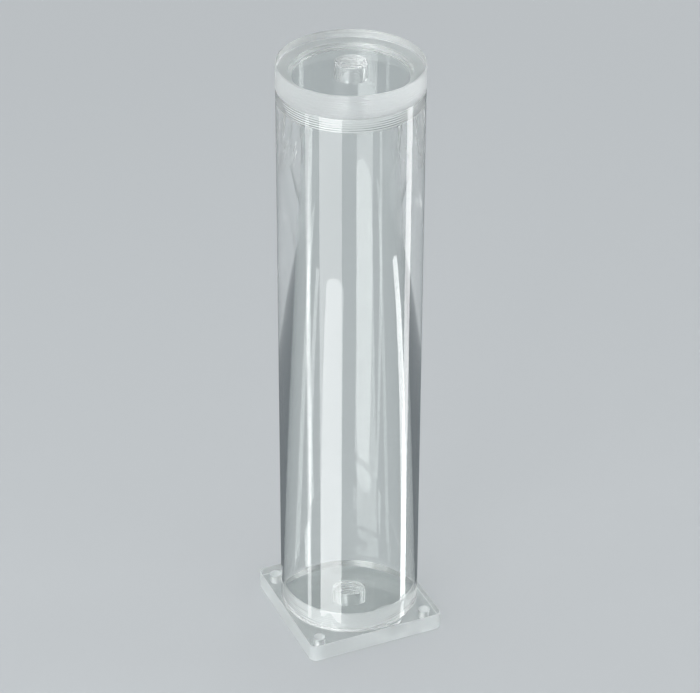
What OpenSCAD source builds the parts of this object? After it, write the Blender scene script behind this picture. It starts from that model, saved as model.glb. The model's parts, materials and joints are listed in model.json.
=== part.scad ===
// Clear acrylic tube reservoir for a liquid-cooling loop.
// A square base with a spigot closes the foot of the tube, and a flanged cap
// with a seal ring plugs its top. Both carry a threaded port on the axis.
// Frame: origin at the centre of the underside, +Z up the tube, base along X and Y.

/* [Tube] */
// Outside diameter of the tube
tube_od = 60; // [50:1:100]
// Wall thickness of the tube
tube_wall = 5; // [3:0.5:8]
// Length of the tube
tube_len = 250; // [60:5:400]
// Width of the bevel on the tube's edges
tube_bevel = 0.3; // [0.1:0.1:0.8]

/* [Cap] */
// Thickness of the cap's flange
flange_t = 10; // [6:0.5:20]
// Length of the plug that hangs into the tube
cap_plug_len = 8; // [5:0.5:16]
// Radial gap between a plug and the tube's bore
plug_gap = 0.1; // [0.05:0.05:0.3]
// Width of the bevel on the edges of the cap and the spigot
turned_bevel = 0.3; // [0.1:0.1:0.6]

/* [Seal] */
// Thickness of the seal ring's cord
seal_cord = 1.5; // [1:0.1:2.5]
// How much of the cord's thickness the bore squeezes away
seal_squeeze = 0.2; // [0.1:0.05:0.4]
// Height of the plug's rim below the seal groove
seal_rim = 0.8; // [0.7:0.1:2]
// Clearance of the seal to each wall that it runs on
seal_gap = 0.05; // [0.02:0.01:0.1]

/* [Ports] */
// Diameter over the roots of the port's thread, which is also that of its countersunk mouth
port_d = 13.16; // [9:0.02:20]
// Radial depth of the thread
thread_depth = 0.86; // [0.4:0.02:1.2]

/* [Base] */
// How far the square plate stands out past the tube on each side
base_margin = 1; // [0.5:0.5:20]
// Thickness of the base plate
base_t = 8; // [6:0.5:16]
// Height of the spigot that stands up into the tube
spigot_h = 8; // [4:0.5:16]
// Radius of the plate's upright corners
corner_r = 3; // [1:0.5:5]
// Distance of each screw hole's centre from the plate's sides
screw_inset = 6; // [5:0.5:10]
// Diameter of the screw holes
screw_d = 5; // [3:0.1:6]

/* [Pocket under the base] */
// Diameter of the round pocket
pocket_d = 13.2; // [6:0.1:14]
// Depth of the pocket
pocket_depth = 2; // [0.5:0.1:4]
// Wall left between the pocket and the plate's front side
pocket_wall = 4.8; // [2:0.1:10]
// How far the pocket's centre lies to the right of the port
pocket_shift = 9.6; // [-14:0.1:14]

/* [Hidden] */

$fn = 96;
over = 1;                                // how far a cut runs past the face that it opens
clear_acrylic = [0.86, 0.9, 0.92, 0.35];
clear_silicone = [0.8, 0.84, 0.86, 0.6];

tube_r = tube_od / 2;
bore_r = tube_r - tube_wall;
plug_r = bore_r - plug_gap;
tube_z0 = base_t;
tube_z1 = tube_z0 + tube_len;

base_side = tube_od + 2 * base_margin;
spigot_z1 = base_t + spigot_h;
screw_pitch = base_side - 2 * screw_inset;
pocket_y = -(base_side / 2 - pocket_wall - pocket_d / 2);

plug_z0 = tube_z1 - cap_plug_len;
cap_z1 = tube_z1 + flange_t;

// The seal's cord is pressed flat where it meets the bore and the floor of the groove.
seal_r1 = bore_r - seal_gap;
seal_r0 = seal_r1 - seal_cord + seal_squeeze;
groove_r = seal_r0 - seal_gap;
groove_z0 = plug_z0 + seal_rim;
groove_z1 = groove_z0 + seal_cord + 2 * seal_gap;

mouth_r = port_d / 2;
port_r = mouth_r - thread_depth;

// Solid of revolution about the reservoir's axis, from an outline of [radius, height] points.
module turned(outline) {
    rotate_extrude($fn = 128) polygon(outline);
}

// Clear bore of a threaded port between two heights, countersunk at 45 degrees at both mouths.
module port_cut(z0, z1) {
    translate([0, 0, z0 - over]) cylinder(r = port_r, h = z1 - z0 + 2 * over);
    translate([0, 0, z0 - over])
        cylinder(r1 = mouth_r + over, r2 = port_r, h = thread_depth + over);
    translate([0, 0, z1 - thread_depth])
        cylinder(r1 = port_r, r2 = mouth_r + over, h = thread_depth + over);
}

// Places its children at the four corners of a square with the given spacing.
module at_corners(spacing) {
    for (x = [-1, 1], y = [-1, 1])
        translate([x * spacing / 2, y * spacing / 2, 0]) children();
}

// Square plate with round upright corners: two crossed slabs and a post in each corner.
module plate(side, height, radius) {
    inner = side - 2 * radius;
    translate([-side / 2, -inner / 2, 0]) cube([side, inner, height]);
    translate([-inner / 2, -side / 2, 0]) cube([inner, side, height]);
    at_corners(inner) cylinder(r = radius, h = height);
}

// Straight length of tube, cut square, with a fine bevel on each of its four edges.
module tube() {
    color(clear_acrylic) turned([
        [bore_r, tube_z0 + tube_bevel],
        [bore_r + tube_bevel, tube_z0],
        [tube_r - tube_bevel, tube_z0],
        [tube_r, tube_z0 + tube_bevel],
        [tube_r, tube_z1 - tube_bevel],
        [tube_r - tube_bevel, tube_z1],
        [bore_r + tube_bevel, tube_z1],
        [bore_r, tube_z1 - tube_bevel]
    ]);
}

// Base plate with the spigot that centres the tube, drilled for the lower port and four screws.
module base() {
    color(clear_acrylic) difference() {
        union() {
            plate(base_side, base_t, corner_r);
            turned([
                [0, base_t / 2],
                [plug_r, base_t / 2],
                [plug_r, spigot_z1 - turned_bevel],
                [plug_r - turned_bevel, spigot_z1],
                [0, spigot_z1]
            ]);
        }
        port_cut(0, spigot_z1);
        at_corners(screw_pitch)
            translate([0, 0, -over]) cylinder(d = screw_d, h = base_t + 2 * over);
        translate([pocket_shift, pocket_y, -over])
            cylinder(d = pocket_d, h = pocket_depth + over);
    }
}

// Cap turned in one piece: a flange as wide as the tube, and a plug with the seal's groove.
module top_cap() {
    color(clear_acrylic) difference() {
        turned([
            [0, plug_z0],
            [plug_r - turned_bevel, plug_z0],
            [plug_r, plug_z0 + turned_bevel],
            [plug_r, groove_z0],
            [groove_r, groove_z0],
            [groove_r, groove_z1],
            [plug_r, groove_z1],
            [plug_r, tube_z1],
            [tube_r - turned_bevel, tube_z1],
            [tube_r, tube_z1 + turned_bevel],
            [tube_r, cap_z1 - turned_bevel],
            [tube_r - turned_bevel, cap_z1],
            [0, cap_z1]
        ]);
        port_cut(plug_z0, cap_z1);
    }
}

// Clear silicone ring in the cap's groove, squeezed flat on its inner and outer side.
module cap_seal() {
    color(clear_silicone) rotate_extrude($fn = 128)
        translate([(seal_r0 + seal_r1) / 2, (groove_z0 + groove_z1) / 2]) intersection() {
            circle(d = seal_cord, $fn = 48);
            square([seal_r1 - seal_r0, 2 * seal_cord], center = true);
        }
}

tube();
base();
top_cap();
cap_seal();
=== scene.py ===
# %% [markdown]
# # A clear acrylic tube reservoir
#
# The object is a coolant reservoir for a liquid-cooling loop: a polished acrylic tube that stands on a
# square machined base and is closed by a turned cap with a clear seal ring. Everything is transparent, so
# the look comes almost wholly from three things: exact smooth shapes, a finish for each face (polished,
# faced, turned, milled or tapped), and what the studio puts around it.
#
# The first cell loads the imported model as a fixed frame. Nearly every size below is read from it, and the
# few that it doesn't hold are named at the top of the cell that uses them.

import json
import math

import bmesh
import bpy
from mathutils import Matrix, Vector


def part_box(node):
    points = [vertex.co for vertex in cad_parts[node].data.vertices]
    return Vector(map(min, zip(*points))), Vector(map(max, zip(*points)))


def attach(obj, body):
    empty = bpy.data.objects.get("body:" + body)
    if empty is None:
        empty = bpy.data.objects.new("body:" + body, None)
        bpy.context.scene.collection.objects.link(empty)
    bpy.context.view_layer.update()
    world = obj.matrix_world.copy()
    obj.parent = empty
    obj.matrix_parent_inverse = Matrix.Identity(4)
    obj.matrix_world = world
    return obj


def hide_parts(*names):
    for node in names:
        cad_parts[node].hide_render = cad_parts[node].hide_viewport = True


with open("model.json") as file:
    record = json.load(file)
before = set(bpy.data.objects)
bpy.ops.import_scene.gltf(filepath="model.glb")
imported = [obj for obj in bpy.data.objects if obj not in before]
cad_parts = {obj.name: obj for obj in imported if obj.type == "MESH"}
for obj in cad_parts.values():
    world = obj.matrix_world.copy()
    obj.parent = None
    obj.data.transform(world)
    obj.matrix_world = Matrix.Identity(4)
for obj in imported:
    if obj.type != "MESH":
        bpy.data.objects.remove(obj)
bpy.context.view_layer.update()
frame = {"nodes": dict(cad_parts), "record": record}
scene = bpy.context.scene
MM = 0.001

# %% [markdown]
# ## The camera
#
# A long lens from well above eye level keeps the tall tube from tapering much. `Matrix` products are read
# from right to left: roll the camera about its own line of sight, tip it down, turn it to its azimuth,
# then move it out. That is easier to reason about than one set of Euler angles.

# %% Camera
CAMERA_AZIMUTH = math.radians(-23.71)
CAMERA_PITCH = math.radians(31.98)
CAMERA_ROLL = math.radians(0.2)
CAMERA_DISTANCE = 0.9882
CAMERA_HEIGHT = 0.7528
LENS_MM = 143.0
SENSOR_WIDTH_MM = 36.0
NEAREST_SEEN = 0.05
FURTHEST_SEEN = 60.0

camera_data = bpy.data.cameras.new("camera")
camera_data.lens = LENS_MM
camera_data.sensor_width = SENSOR_WIDTH_MM
camera_data.clip_start = NEAREST_SEEN
camera_data.clip_end = FURTHEST_SEEN
camera = bpy.data.objects.new("camera", camera_data)
scene.collection.objects.link(camera)
toward_camera = Vector((math.sin(CAMERA_AZIMUTH), -math.cos(CAMERA_AZIMUTH), 0.0))
camera.matrix_world = (
    Matrix.Translation(toward_camera * CAMERA_DISTANCE + Vector((0, 0, CAMERA_HEIGHT)))
    @ Matrix.Rotation(CAMERA_AZIMUTH, 4, "Z")
    @ Matrix.Rotation(math.radians(90) - CAMERA_PITCH, 4, "X")
    @ Matrix.Rotation(CAMERA_ROLL, 4, "Z")
)
scene.camera = camera
print("camera at", [round(v, 3) for v in camera.location])

# %% [markdown]
# ## Two small helpers for materials
#
# A designer writes a colour as a hex value in sRGB, and a shader wants linear light, so one function
# converts. The other adds a node, sets its properties and inputs, and wires it up in a single call, which
# keeps the materials short enough to read as recipes.

# %% Colour and node helpers
def linear(hex_colour):
    """Linear RGBA from an sRGB hex value such as '#C8D0D4'."""
    channels = [int(hex_colour[i:i + 2], 16) / 255 for i in (1, 3, 5)]
    return tuple(c / 12.92 if c <= 0.04045 else ((c + 0.055) / 1.055) ** 2.4 for c in channels) + (1.0,)


def add(tree, kind, settings=None, **inputs):
    """Adds a node. settings are its properties, inputs its sockets: a value, or an output to link."""
    node = tree.nodes.new(kind)
    for name, value in (settings or {}).items():
        setattr(node, name, value)
    for name, value in inputs.items():
        socket = node.inputs[int(name[1:])] if name[0] == "_" else node.inputs[name.replace("_", " ")]
        if isinstance(value, bpy.types.NodeSocket):
            tree.links.new(value, socket)
        else:
            socket.default_value = value
    return node


print("linear('#808080') =", [round(c, 3) for c in linear("#808080")])

# %% [markdown]
# ## Acrylic, finished five ways
#
# Acrylic has an index of refraction of 1.49, and each piece of it here is one closed solid, so light
# really bends at the front, bounces at the back and leaves by the far side. What changes from face to
# face is how it was made:
#
# - extruded and polished faces are clear, with only faint long draw lines;
# - flat faces are nearly as clear, with a trace of haze;
# - turned faces carry the fine rings of a lathe tool, and scatter light so that they look frosted;
# - milled sides are frosted too, in a mottled way with no rings;
# - tapped threads are frosted and catch light on their crests.
#
# The seal ring is clear silicone, which bends light less and is cloudier. Each finish is a Principled
# shader whose relief comes from a function that is handed to `see_through`. The lathe's rings and the
# mill's marks are drawn about five times coarser than real ones, which would be too fine to show.
#
# Glass-like shaders stop lamp light dead and would throw a black shadow, so rays towards lamps pass
# through a Transparent shader that takes a little light at each surface, as clear plastic does.

# %% Acrylic
ACRYLIC_IOR = 1.491
SILICONE_IOR = 1.41
LAMP_LIGHT_KEPT = 0.93
WAVE_RADIANS_PER_UNIT = 20.0  # how fast Blender's Wave texture runs before it is scaled
TURNING_PITCH_MM = 1.0        # a real feed is nearer 0.2 mm, too fine to show, so the rings are coarser
MILLING_GRAIN_MM = 0.9        # coarser than real milling marks for the same reason


def see_through(name, colour, ior, roughness, transmission, height, height_mm):
    """A refracting plastic. height(tree) gives the relief's height as a socket, and height_mm its depth."""
    material = bpy.data.materials.new(name)
    material.use_nodes = True
    tree = material.node_tree
    tree.nodes.clear()
    relief = add(tree, "ShaderNodeBump", Height=height(tree), Distance=height_mm * MM, Strength=1.0)
    plastic = add(
        tree, "ShaderNodeBsdfPrincipled",
        Base_Color=linear(colour), Roughness=roughness, IOR=ior,
        Transmission_Weight=transmission, Normal=relief.outputs[0],
    )
    clear = add(tree, "ShaderNodeBsdfTransparent", Color=(LAMP_LIGHT_KEPT,) * 3 + (1.0,))
    path = add(tree, "ShaderNodeLightPath")
    mix = add(tree, "ShaderNodeMixShader", _0=path.outputs["Is Shadow Ray"],
              _1=plastic.outputs[0], _2=clear.outputs[0])
    add(tree, "ShaderNodeOutputMaterial", Surface=mix.outputs[0])
    return material


def stretched_noise(tree, size_mm, detail=2.0):
    """Noise whose grains are size_mm = (across X, across Y, along Z) big."""
    place = add(tree, "ShaderNodeTexCoord")
    scale = add(tree, "ShaderNodeMapping", Vector=place.outputs["Object"],
                Scale=tuple(1 / (s * MM) for s in size_mm))
    return add(tree, "ShaderNodeTexNoise", Vector=scale.outputs[0], Scale=1.0, Detail=detail).outputs[0]


def turning_rings(tree, pitch_mm):
    """Height of the rings that a lathe tool leaves, with an uneven feed from stretched noise."""
    place = add(tree, "ShaderNodeTexCoord")
    waves = 2 * math.pi / (WAVE_RADIANS_PER_UNIT * pitch_mm * MM)
    rings = add(tree, "ShaderNodeTexWave", {"bands_direction": "Z"},
                Vector=place.outputs["Object"], Scale=waves, Distortion=0.6, Detail=1.0)
    feed = stretched_noise(tree, (40, 40, pitch_mm * 1.7))
    return add(tree, "ShaderNodeMath", {"operation": "ADD"}, _0=rings.outputs[1], _1=feed).outputs[0]


polished = see_through(
    "extruded_acrylic_polished", "#FAFCFB", ACRYLIC_IOR, roughness=0.0, transmission=1.0,
    height=lambda tree: stretched_noise(tree, (3, 3, 220)), height_mm=0.004,
)
faced = see_through(
    "sheet_acrylic_faced", "#F4F7F6", ACRYLIC_IOR, roughness=0.05, transmission=0.97,
    height=lambda tree: stretched_noise(tree, (6, 6, 6)), height_mm=0.004,
)
turned = see_through(
    "cast_acrylic_turned", "#ECEFEF", ACRYLIC_IOR, roughness=0.34, transmission=0.78,
    height=lambda tree: turning_rings(tree, TURNING_PITCH_MM), height_mm=0.08,
)
milled = see_through(
    "cast_acrylic_milled", "#E6EAEA", ACRYLIC_IOR, roughness=0.45, transmission=0.6,
    height=lambda tree: stretched_noise(tree, (MILLING_GRAIN_MM,) * 3, detail=4.0), height_mm=0.03,
)
tapped = see_through(
    "cast_acrylic_tapped", "#F6F8F8", ACRYLIC_IOR, roughness=0.16, transmission=0.9,
    height=lambda tree: stretched_noise(tree, (0.8, 0.8, 0.3), detail=3.0), height_mm=0.02,
)
silicone = see_through(
    "clear_silicone_moulded", "#E9EDEC", SILICONE_IOR, roughness=0.3, transmission=0.75,
    height=lambda tree: stretched_noise(tree, (0.5, 0.5, 0.5)), height_mm=0.01,
)
FINISHES = [polished, faced, turned, milled, tapped, silicone]
print("finishes:", [m.name for m in FINISHES])

# %% [markdown]
# ## Sizes, read from the frame
#
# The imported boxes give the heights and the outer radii. The bore is found from the seal ring, which runs in
# it, and the record's mounts give the ports and the screw holes, so nothing is measured twice. The tube's
# ends get a film of air a few hundredths of a millimetre thick: two transparent faces in one plane would
# fight, and dry joints in acrylic really are bright because of that film.

# %% Sizes
AIR_FILM = 0.03 * MM
SEAL_CLEARANCE = 0.05 * MM
PLUG_CLEARANCE = 0.1 * MM
EDGE = 0.3 * MM
THREAD_PITCH = 1.337 * MM
THREAD_DEPTH = 0.86 * MM
SEAT_DEPTH = 8.0 * MM
SEAT_CUT = 0.25 * MM
SEAT_RUNOUT = 0.5 * MM

mounts = {m["name"]: m for m in frame["record"]["mounts"]}
tube_low, tube_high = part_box("tube")
base_low, base_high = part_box("base")
cap_low, cap_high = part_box("top_cap")
seal_low, seal_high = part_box("cap_seal")
seal_points = frame["nodes"]["cap_seal"].data.vertices
seal_floor = min(Vector((v.co.x, v.co.y)).length for v in seal_points)

tube_r = tube_high.x
bore_r = seal_high.x + SEAL_CLEARANCE
plug_r = bore_r - PLUG_CLEARANCE
port_r = mounts["top_port"]["dims"]["r_mm"] * MM
mouth_r = port_r + THREAD_DEPTH
half_side = base_high.x
plate_top = tube_low.z
screw_pitch = mounts["pump_screws"]["dims"]["spacing_x_mm"] * MM
screw_r = mounts["pump_screws"]["dims"]["hole_r_mm"] * MM
print("tube", round(tube_r / MM, 2), "bore", round(bore_r / MM, 2), "port", round(port_r / MM, 2))

# %% [markdown]
# ## Rings and bridges
#
# Everything round is built as a stack of rings with the same number of points, and each ring is bridged
# to the next with a band of quads. One band is one machined face, so each band gets its own finish. A
# lathe profile through the Screw modifier would do for plain shapes, but rings can also follow a thread.
# Edges sharper than 30 degrees are marked sharp, and everything else is shaded smooth, which is what
# keeps the refraction clean.

# %% Building with rings
AROUND = 144
SHARP_EDGE = math.radians(30)


def ring(bm, radius, z, centre=(0.0, 0.0), count=AROUND):
    """Points round a circle. radius is a number, or a function of the angle."""
    points = []
    for i in range(count):
        angle = 2 * math.pi * i / count
        r = radius(angle) if callable(radius) else radius
        points.append(bm.verts.new((centre[0] + r * math.cos(angle), centre[1] + r * math.sin(angle), z)))
    return points


def band(bm, low, high, finish):
    """A band of quads between two rings with as many points."""
    for i in range(len(low)):
        j = (i + 1) % len(low)
        bm.faces.new((low[i], low[j], high[j], high[i])).material_index = FINISHES.index(finish)


def bands(bm, rings, finishes, closed=False):
    """Bridges each ring to the next, with a finish for each band."""
    following = rings[1:] + ([rings[0]] if closed else [])
    for first, second, finish in zip(rings, following, finishes):
        band(bm, first, second, finish)


def finish_piece(bm, name, body, node):
    """Turns the mesh into a piece that rides on its body and stands for its node."""
    bmesh.ops.recalc_face_normals(bm, faces=bm.faces[:])
    for face in bm.faces:
        face.smooth = True
    for edge in bm.edges:
        edge.smooth = edge.calc_face_angle(0.0) < SHARP_EDGE
    mesh = bpy.data.meshes.new(name)
    bm.to_mesh(mesh)
    bm.free()
    for material in FINISHES:
        mesh.materials.append(material)
    piece = bpy.data.objects.new(name, mesh)
    scene.collection.objects.link(piece)
    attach(piece, body)
    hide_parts(node)
    print(name, len(mesh.vertices), "points", len(mesh.polygons), "faces")


# %% [markdown]
# ## The tube
#
# A length of extruded acrylic tube, clear inside and out. Its ends were faced on a lathe, and the bore was
# skimmed out at each end to a frosted seat, which ends in the short cone where the tool ran out. The seat
# is in the tube's own wall, and the curved wall magnifies it, so it looks as wide as the whole tube.

# %% Tube
def make_tube():
    bm = bmesh.new()
    z0, z1 = tube_low.z + AIR_FILM, tube_high.z - AIR_FILM
    seat_r = bore_r + SEAT_CUT
    profile = [
        (tube_r, z0 + EDGE), (tube_r, z1 - EDGE), (tube_r - EDGE, z1), (seat_r + EDGE, z1),
        (seat_r, z1 - EDGE), (seat_r, z1 - SEAT_DEPTH + SEAT_RUNOUT), (bore_r, z1 - SEAT_DEPTH),
        (bore_r, z0 + SEAT_DEPTH), (seat_r, z0 + SEAT_DEPTH - SEAT_RUNOUT), (seat_r, z0 + EDGE),
        (seat_r + EDGE, z0), (tube_r - EDGE, z0),
    ]
    finishes = [polished] + [turned] * 4 + [polished] * 3 + [turned] * 4
    bands(bm, [ring(bm, r, z) for r, z in profile], finishes, closed=True)
    finish_piece(bm, "reservoir_tube", "reservoir", "tube")


make_tube()

# %% [markdown]
# ## A threaded port
#
# A G1/4 thread has a pitch of 1.337 mm. Walking once round the hole moves the thread by one pitch, so
# the radius at an angle and a height is one function of `height / pitch - angle / full turn`: that keeps
# the wall a plain grid of rings, closed all round. The flanks are a triangle wave, drawn steeper than it
# needs to be and then cut flat at its crests and roots, and the countersink at each mouth simply wins
# wherever it is wider.

# %% Threaded wall
STEPS_PER_PITCH = 14
FLANK_STEEPNESS = 1.3


def port_wall(bm, z0, z1):
    """Rings of a threaded wall from z0 up to z1, countersunk at both mouths."""
    count = round((z1 - z0) / THREAD_PITCH * STEPS_PER_PITCH)
    rings = []
    for k in range(count + 1):
        z = z0 + (z1 - z0) * k / count
        countersink = mouth_r - min(z - z0, z1 - z)

        def radius(angle, z=z, countersink=countersink):
            turn = (z / THREAD_PITCH - angle / (2 * math.pi)) % 1.0
            flank = max(-1.0, min(1.0, FLANK_STEEPNESS * (4 * abs(turn - 0.5) - 1)))
            return max(port_r + THREAD_DEPTH * (1 + flank) / 2, countersink)

        rings.append(ring(bm, radius, z))
    bands(bm, rings, [tapped] * count)
    return rings


# %% [markdown]
# ## The cap
#
# The cap is turned from one billet: a flange as wide as the tube, and a plug that hangs inside it with
# a groove for the seal. Its flat faces are nearly clear, so the thread and the tube below can be seen
# through them, and the turned walls are frosted.

# %% Cap
groove_low = seal_low.z - SEAL_CLEARANCE
groove_high = seal_high.z + SEAL_CLEARANCE
groove_floor = seal_floor - SEAL_CLEARANCE


def make_cap():
    bm = bmesh.new()
    z0, z1, seat = cap_low.z, cap_high.z, tube_high.z
    port = port_wall(bm, z0, z1)
    profile = [
        (plug_r - EDGE, z0), (plug_r, z0 + EDGE), (plug_r, groove_low), (groove_floor, groove_low),
        (groove_floor, groove_high), (plug_r, groove_high), (plug_r, seat), (tube_r - EDGE, seat),
        (tube_r, seat + EDGE), (tube_r, z1 - EDGE), (tube_r - EDGE, z1),
    ]
    rings = [port[0]] + [ring(bm, r, z) for r, z in profile] + [port[-1]]
    bands(bm, rings, [faced] + [turned] * 10 + [faced])
    finish_piece(bm, "turned_cap", "cap", "top_cap")


make_cap()

# %% [markdown]
# ## The seal ring
#
# A clear silicone cord, squeezed flat where the tube's bore and the groove's floor press on it and round
# above and below. Its outline is a circle whose points are clamped to the squeezed width, which cuts both
# sides off.

# %% Seal ring
CORD_STEPS = 24


def make_seal():
    bm = bmesh.new()
    middle_r = (seal_high.x + seal_floor) / 2
    middle_z = (seal_high.z + seal_low.z) / 2
    half_width = (seal_high.x - seal_floor) / 2
    cord_r = (seal_high.z - seal_low.z) / 2
    rings = []
    for k in range(CORD_STEPS):
        angle = 2 * math.pi * k / CORD_STEPS
        across = max(-half_width, min(half_width, cord_r * math.cos(angle)))
        rings.append(ring(bm, middle_r + across, middle_z + cord_r * math.sin(angle)))
    bands(bm, rings, [silicone] * CORD_STEPS, closed=True)
    finish_piece(bm, "cap_seal_ring", "seal", "cap_seal")


make_seal()

# %% [markdown]
# ## The base
#
# One block milled to a square plate with a spigot on top. The flat faces have holes in them, which
# quads can't cover neatly, so each flat face is filled from its outline and the rims of its holes by
# `triangle_fill`: flat triangles shade perfectly, and every rim is shared with the wall below it, so
# the block stays one closed solid with no booleans.

# %% Base
CORNER_R = 3.0 * MM
CORNER_STEPS = 14
POCKET_CENTRE = (9.6 * MM, -19.6 * MM)
POCKET_R = 6.6 * MM
POCKET_DEPTH = 2.0 * MM
POCKET_AROUND = 96
SCREW_AROUND = 48


def plate_outline(bm, inset, z):
    """Points round a square with round corners, inset from the plate's sides."""
    points = []
    radius = CORNER_R - inset
    arm = half_side - CORNER_R
    for quarter in range(4):
        corner = Matrix.Rotation(quarter * math.pi / 2, 2) @ Vector((arm, arm))
        for k in range(CORNER_STEPS + 1):
            angle = math.pi / 2 * (quarter + k / CORNER_STEPS)
            points.append(bm.verts.new((corner.x + radius * math.cos(angle),
                                        corner.y + radius * math.sin(angle), z)))
    return points


def flat_face(bm, loops, finish):
    """Fills a flat face between an outline and the rims of its holes."""
    edges = []
    for loop in loops:
        for i, point in enumerate(loop):
            other = loop[(i + 1) % len(loop)]
            edges.append(bm.edges.get((point, other)) or bm.edges.new((point, other)))
    made = bmesh.ops.triangle_fill(bm, use_beauty=True, edges=edges)
    for face in made["geom"]:
        if isinstance(face, bmesh.types.BMFace):
            face.material_index = FINISHES.index(finish)


def make_base():
    bm = bmesh.new()
    z0, z1 = base_low.z, base_high.z
    port = port_wall(bm, z0, z1)
    spigot = [ring(bm, r, z) for r, z in ((plug_r, plate_top), (plug_r, z1 - EDGE), (plug_r - EDGE, z1))]
    bands(bm, spigot + [port[-1]], [turned, turned, faced])
    sides = [plate_outline(bm, inset, z) for inset, z in
             ((EDGE, z0), (0.0, z0 + EDGE), (0.0, plate_top - EDGE), (EDGE, plate_top))]
    bands(bm, sides, [milled] * 3)
    lower, upper = [sides[0], port[0]], [sides[-1], spigot[0]]
    for x in (-1, 1):
        for y in (-1, 1):
            centre = (x * screw_pitch / 2, y * screw_pitch / 2)
            hole = [ring(bm, screw_r, z, centre, SCREW_AROUND) for z in (z0, plate_top)]
            bands(bm, hole, [milled])
            lower.append(hole[0])
            upper.append(hole[1])
    pocket = [ring(bm, POCKET_R, z, POCKET_CENTRE, POCKET_AROUND) for z in (z0, z0 + POCKET_DEPTH)]
    bands(bm, pocket, [milled])
    flat_face(bm, lower + [pocket[0]], faced)
    flat_face(bm, upper, faced)
    flat_face(bm, [pocket[1]], milled)
    finish_piece(bm, "base_block", "reservoir", "base")


make_base()

# %% [markdown]
# ## The floor and the background
#
# A plain pale floor. Near the object it is a matt surface that takes its shadow, and further out it fades
# into an even glow of the same colour as the background, so that no horizon shows from any side.
#
# An upright tube seen from above mirrors the floor at its own foot, and nothing else. The floor is
# therefore clear to light that was mirrored exactly once, which `Glossy Depth` counts, so that both the
# front wall and the hollow back wall mirror the tall softboxes, as they would at the edge of a table.
# Such light also sees a dimmer background, which draws the tube's edges darker than the floor.

# %% Floor and background
PALE = "#CDD0D2"
DIM = "#6C7276"
FLOOR_SIZE = 60.0
FLOOR_DROP = 0.1 * MM
SHADOW_REACH = (0.5, 1.6)


def mirrored_once(tree):
    """A socket that is 1 for light that was mirrored exactly once, and otherwise 0."""
    path = add(tree, "ShaderNodeLightPath")
    once = add(tree, "ShaderNodeMath", {"operation": "COMPARE"},
               _0=path.outputs["Glossy Depth"], _1=1.0, _2=0.5)
    return once.outputs[0]


def make_floor():
    bm = bmesh.new()
    bmesh.ops.create_grid(bm, x_segments=1, y_segments=1, size=FLOOR_SIZE / 2)
    mesh = bpy.data.meshes.new("floor")
    bm.to_mesh(mesh)
    bm.free()
    floor = bpy.data.objects.new("floor", mesh)
    floor.location.z = base_low.z - FLOOR_DROP
    scene.collection.objects.link(floor)
    material = bpy.data.materials.new("matt_paper_floor")
    material.use_nodes = True
    tree = material.node_tree
    tree.nodes.clear()
    place = add(tree, "ShaderNodeTexCoord")
    reach = add(tree, "ShaderNodeVectorMath", {"operation": "LENGTH"}, _0=place.outputs["Object"])
    far = add(tree, "ShaderNodeMapRange", {"interpolation_type": "SMOOTHSTEP"},
              Value=reach.outputs["Value"], From_Min=SHADOW_REACH[0], From_Max=SHADOW_REACH[1])
    paper = add(tree, "ShaderNodeBsdfDiffuse", Color=linear(PALE))
    glow = add(tree, "ShaderNodeEmission", Color=linear(PALE), Strength=1.0)
    seen = add(tree, "ShaderNodeMixShader", _0=far.outputs[0], _1=paper.outputs[0], _2=glow.outputs[0])
    clear = add(tree, "ShaderNodeBsdfTransparent")
    mix = add(tree, "ShaderNodeMixShader",
              _0=mirrored_once(tree), _1=seen.outputs[0], _2=clear.outputs[0])
    add(tree, "ShaderNodeOutputMaterial", Surface=mix.outputs[0])
    mesh.materials.append(material)


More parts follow.
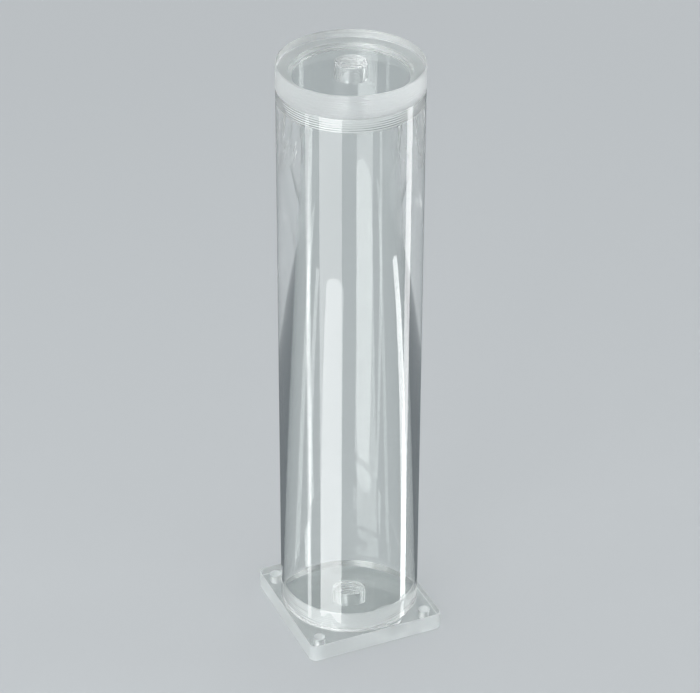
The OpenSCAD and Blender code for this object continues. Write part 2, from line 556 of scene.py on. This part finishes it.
def make_world():
    world = bpy.data.worlds.new("studio")
    world.use_nodes = True
    tree = world.node_tree
    tree.nodes.clear()
    pale = add(tree, "ShaderNodeBackground", Color=linear(PALE), Strength=1.0)
    dim = add(tree, "ShaderNodeBackground", Color=linear(DIM), Strength=1.0)
    mix = add(tree, "ShaderNodeMixShader",
              _0=mirrored_once(tree), _1=pale.outputs[0], _2=dim.outputs[0])
    add(tree, "ShaderNodeOutputWorld", Surface=mix.outputs[0])
    scene.world = world


make_floor()
make_world()
print("floor and world are", PALE, "and", DIM, "where mirrored once")

# %% [markdown]
# ## The lights
#
# Two tall softboxes and a tall strip light, all hidden from the camera itself. The wide softbox at the
# camera's left is mirrored twice: once by the front of the tube, as the broad bright strip that runs its
# whole height, and once by the hollow back wall, as the strip beside it. The softbox at the far right
# draws the thin bright line near the tube's right edge, and the strip light the one on the left.
#
# A light's energy is its radiance times pi times its area, so a light can be made larger here without
# its mirror image getting dimmer.

# %% Lights
LIGHT_DISTANCE = 2.0
LIGHT_HEIGHT = 4.0
LIGHT_CENTRE_Z = -0.3


def softbox(name, turn_deg, width, radiance):
    """A tall area light, turned from the camera's direction (positive is to the camera's right)."""
    data = bpy.data.lights.new(name, "AREA")
    data.shape = "RECTANGLE"
    data.size = width
    data.size_y = LIGHT_HEIGHT
    data.energy = radiance * math.pi * width * LIGHT_HEIGHT
    lamp = bpy.data.objects.new(name, data)
    outward = Matrix.Rotation(math.radians(turn_deg), 3, "Z") @ toward_camera
    lamp.location = outward * LIGHT_DISTANCE + Vector((0, 0, LIGHT_CENTRE_Z))
    lamp.rotation_euler = outward.to_track_quat("Z", "Y").to_euler()
    lamp.visible_camera = False
    scene.collection.objects.link(lamp)


softbox("left_softbox", turn_deg=-31, width=1.3, radiance=4.2)
softbox("right_softbox", turn_deg=102, width=0.45, radiance=5.0)
softbox("left_strip_light", turn_deg=-70, width=0.25, radiance=3.4)

# %% [markdown]
# ## Render settings
#
# The Standard view transform shows a colour as it was written. Clear plastic needs long light paths: a
# ray may meet many faces before it leaves the base.

# %% Finish
scene.view_settings.view_transform = "Standard"
LONGEST_PATH = 32
scene.cycles.max_bounces = LONGEST_PATH
scene.cycles.transmission_bounces = LONGEST_PATH
scene.cycles.glossy_bounces = 24
